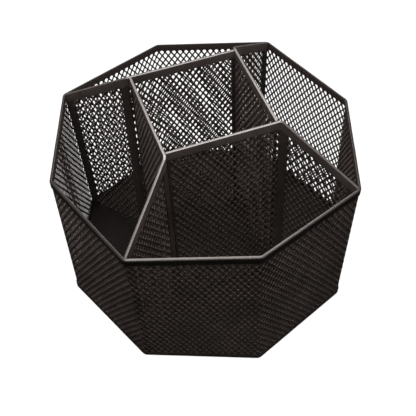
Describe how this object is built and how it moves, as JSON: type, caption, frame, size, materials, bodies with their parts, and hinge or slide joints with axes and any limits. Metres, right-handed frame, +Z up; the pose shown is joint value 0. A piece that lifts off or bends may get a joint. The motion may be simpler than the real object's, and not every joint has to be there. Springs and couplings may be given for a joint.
{
  "type": "desk organizer",
  "caption": "Black steel mesh desk organizer: octagonal basket with a taller open square pen cell in the middle and bent mesh dividers that run out to its corners.",
  "frame": {"origin": "centre of the base, at the level of the surface that it stands on", "axes": "+Z up, +X and +Y square to the sides of the square cell, so that the dividers run out along the diagonals"},
  "size_m": [0.153, 0.153, 0.114],
  "materials": {
    "coated_mesh": "satin",
    "coated_edging": "satin",
    "coated_tray": "satin",
    "pad_rubber": "matte"
  },
  "bodies": {
    "root": {"base_tray": "coated_tray", "outer_wall_mesh": "coated_mesh", "outer_rim": "coated_edging", "divider_1_mesh": "coated_mesh", "divider_1_top_rim": "coated_edging", "divider_1_wall_upright": "coated_edging", "divider_1_bend_upright": "coated_edging", "divider_1_end_upright": "coated_edging", "divider_2_mesh": "coated_mesh", "divider_2_top_rim": "coated_edging", "divider_2_wall_upright": "coated_edging", "divider_2_bend_upright": "coated_edging", "divider_2_end_upright": "coated_edging", "divider_3_mesh": "coated_mesh", "divider_3_top_rim": "coated_edging", "divider_3_wall_upright": "coated_edging", "divider_3_bend_upright": "coated_edging", "divider_3_end_upright": "coated_edging", "divider_4_mesh": "coated_mesh", "divider_4_top_rim": "coated_edging", "divider_4_wall_upright": "coated_edging", "divider_4_bend_upright": "coated_edging", "divider_4_end_upright": "coated_edging", "foot_pad_1": "pad_rubber", "foot_pad_2": "pad_rubber", "foot_pad_3": "pad_rubber", "foot_pad_4": "pad_rubber"}
  },
  "joints": []
}
